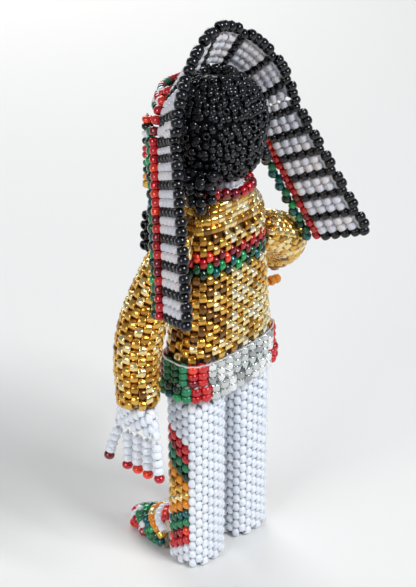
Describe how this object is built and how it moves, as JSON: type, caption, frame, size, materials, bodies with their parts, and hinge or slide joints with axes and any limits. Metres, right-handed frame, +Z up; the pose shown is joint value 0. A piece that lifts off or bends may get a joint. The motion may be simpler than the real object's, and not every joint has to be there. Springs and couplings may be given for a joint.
{
  "type": "huichol beaded figure",
  "caption": "Standing figure woven from seed beads, with feather headdress, turning head, swinging arms and bead-strand fingers.",
  "frame": {"origin": "on the ground, midway between the two ankles", "axes": "+Z up, the figure faces -Y, its left side is +X"},
  "size_m": [0.0519, 0.0354, 0.1003],
  "materials": {
    "white_beads": "opaque white seed beads, glossy",
    "leg_stripe_beads": "seed beads in red, green, orange and gold rows, glossy",
    "moccasin_beads": "seed beads in red, green, orange and white rings, glossy",
    "gold_beads": "silver-lined gold cut beads, sparkling",
    "feather_beads": "opaque white and black seed beads, glossy",
    "trim_beads": "transparent red and green seed beads, glossy",
    "drop_beads": "strung seed beads in several colours, glossy",
    "hair_beads": "opaque black seed beads, glossy",
    "red_beads": "transparent red seed beads, glossy",
    "belt_block_beads": "standing seed beads in green and red, glossy",
    "crystal_beads": "silver-lined clear beads, sparkling",
    "chest_band_beads": "transparent red over transparent green seed beads",
    "stuffing": "cotton stuffing, matte",
    "orange_beads": "opaque orange seed beads, glossy",
    "skin_relief_beads": "opaque white seed bead, glossy",
    "headband_beads": "seed beads in green, red and black, glossy"
  },
  "bodies": {
    "figure": {"bead_collar": "red_beads", "belt_crystal_back": "crystal_beads", "belt_crystal_front": "crystal_beads", "belt_left_block": "belt_block_beads", "belt_right_block": "belt_block_beads", "chest_band": "chest_band_beads", "left_leg": "white_beads", "left_leg_stripe": "leg_stripe_beads", "left_leg_stuffing": "stuffing", "left_moccasin": "moccasin_beads", "left_moccasin_stuffing": "stuffing", "neck": "white_beads", "right_leg": "white_beads", "right_leg_stripe": "leg_stripe_beads", "right_leg_stuffing": "stuffing", "right_moccasin": "moccasin_beads", "right_moccasin_stuffing": "stuffing", "shirt_body": "gold_beads", "shirt_yoke": "gold_beads", "torso_stuffing": "stuffing", "trouser_seat": "white_beads"},
    "head": {"hair_cap": "hair_beads", "face": "white_beads", "head_stuffing": "stuffing", "eyes": "hair_beads", "brows": "hair_beads", "nose": "skin_relief_beads", "mouth": "red_beads", "headband": "headband_beads", "headdress_fan": "feather_beads"},
    "left_arm": {"left_sleeve": "gold_beads", "left_arm_stuffing": "stuffing", "left_hand": "white_beads"},
    "right_arm": {"right_sleeve": "gold_beads", "right_arm_stuffing": "stuffing", "right_hand": "white_beads", "held_strand": "orange_beads"},
    "left_finger_1": {"left_finger_1": "white_beads"},
    "left_finger_2": {"left_finger_2": "white_beads"},
    "left_finger_3": {"left_finger_3": "white_beads"},
    "left_finger_4": {"left_finger_4": "white_beads"},
    "left_finger_5": {"left_finger_5": "white_beads"},
    "right_finger_1": {"right_finger_1": "white_beads"},
    "right_finger_2": {"right_finger_2": "white_beads"},
    "right_finger_3": {"right_finger_3": "white_beads"},
    "right_finger_4": {"right_finger_4": "white_beads"},
    "right_finger_5": {"right_finger_5": "white_beads"},
    "left_wing": {"left_wing": "feather_beads", "left_wing_trim": "trim_beads"},
    "left_drop": {"left_side_drop": "drop_beads"},
    "left_lock": {"left_hair_lock": "hair_beads", "left_lock_tie": "red_beads"},
    "right_wing": {"right_wing": "feather_beads", "right_wing_trim": "trim_beads"},
    "right_drop": {"right_side_drop": "drop_beads"},
    "right_lock": {"right_hair_lock": "hair_beads", "right_lock_tie": "red_beads"}
  },
  "joints": [
    {"name": "head_turn", "type": "hinge", "parent": "figure", "child": "head", "pos_m": [0, 0, 0.073], "axis": [0, 0, 1], "range_deg": [-6, 6]},
    {"name": "left_arm_swing", "type": "hinge", "parent": "figure", "child": "left_arm", "pos_m": [0.011, 0, 0.0645], "axis": [1, 0, 0], "range_deg": [-22, 6]},
    {"name": "right_arm_swing", "type": "hinge", "parent": "figure", "child": "right_arm", "pos_m": [-0.011, 0, 0.0605], "axis": [1, 0, 0], "range_deg": [-10, 6]},
    {"name": "left_finger_1_bend", "type": "hinge", "parent": "left_arm", "child": "left_finger_1", "pos_m": [0.01919, 0.00265, 0.03177], "axis": [0, -0.9982, -0.0599], "range_deg": [-15, 15]},
    {"name": "left_finger_2_bend", "type": "hinge", "parent": "left_arm", "child": "left_finger_2", "pos_m": [0.01919, 0.00035, 0.03163], "axis": [0, -0.9982, -0.0599], "range_deg": [-15, 15]},
    {"name": "left_finger_3_bend", "type": "hinge", "parent": "left_arm", "child": "left_finger_3", "pos_m": [0.01919, -0.00194, 0.03149], "axis": [0, -0.9982, -0.0599], "range_deg": [-15, 15]},
    {"name": "left_finger_4_bend", "type": "hinge", "parent": "left_arm", "child": "left_finger_4", "pos_m": [0.01919, -0.00424, 0.03135], "axis": [0, -0.9982, -0.0599], "range_deg": [-15, 15]},
    {"name": "left_finger_5_bend", "type": "hinge", "parent": "left_arm", "child": "left_finger_5", "pos_m": [0.01919, -0.00654, 0.03121], "axis": [0, -0.9982, -0.0599], "range_deg": [-15, 15]},
    {"name": "right_finger_1_bend", "type": "hinge", "parent": "right_arm", "child": "right_finger_1", "pos_m": [-0.02488, -0.01421, 0.04597], "axis": [0.9062, 0.4229, 0], "range_deg": [-15, 15]},
    {"name": "right_finger_2_bend", "type": "hinge", "parent": "right_arm", "child": "right_finger_2", "pos_m": [-0.0228, -0.01324, 0.04597], "axis": [0.9062, 0.4229, 0], "range_deg": [-15, 15]},
    {"name": "right_finger_3_bend", "type": "hinge", "parent": "right_arm", "child": "right_finger_3", "pos_m": [-0.02072, -0.01227, 0.04597], "axis": [0.9062, 0.4229, 0], "range_deg": [-15, 15]},
    {"name": "right_finger_4_bend", "type": "hinge", "parent": "right_arm", "child": "right_finger_4", "pos_m": [-0.01863, -0.01129, 0.04597], "axis": [0.9062, 0.4229, 0], "range_deg": [-15, 15]},
    {"name": "right_finger_5_bend", "type": "hinge", "parent": "right_arm", "child": "right_finger_5", "pos_m": [-0.01655, -0.01032, 0.04597], "axis": [0.9062, 0.4229, 0], "range_deg": [-15, 15]},
    {"name": "left_wing_flex", "type": "hinge", "parent": "head", "child": "left_wing", "pos_m": [0.0116, -0.0026, 0.082], "axis": [-0.404, -0.8207, -0.404], "range_deg": [-2, 10], "stiffness_Nm_per_rad": 0.0002},
    {"name": "left_drop_swing", "type": "hinge", "parent": "head", "child": "left_drop", "pos_m": [0.0096, -0.0072, 0.0856], "axis": [0, -1, 0], "range_deg": [-1, 15]},
    {"name": "left_lock_swing", "type": "hinge", "parent": "head", "child": "left_lock", "pos_m": [0.0062, -0.0063, 0.0736], "axis": [-1, 0, 0], "range_deg": [-2, 12]},
    {"name": "right_wing_flex", "type": "hinge", "parent": "head", "child": "right_wing", "pos_m": [-0.0116, -0.0026, 0.082], "axis": [-0.404, 0.8207, 0.404], "range_deg": [-2, 10], "stiffness_Nm_per_rad": 0.0002},
    {"name": "right_drop_swing", "type": "hinge", "parent": "head", "child": "right_drop", "pos_m": [-0.0096, -0.0072, 0.0856], "axis": [0, 1, 0], "range_deg": [-1, 15]},
    {"name": "right_lock_swing", "type": "hinge", "parent": "head", "child": "right_lock", "pos_m": [-0.0062, -0.0063, 0.0736], "axis": [-1, 0, 0], "range_deg": [-2, 12]}
  ]
}
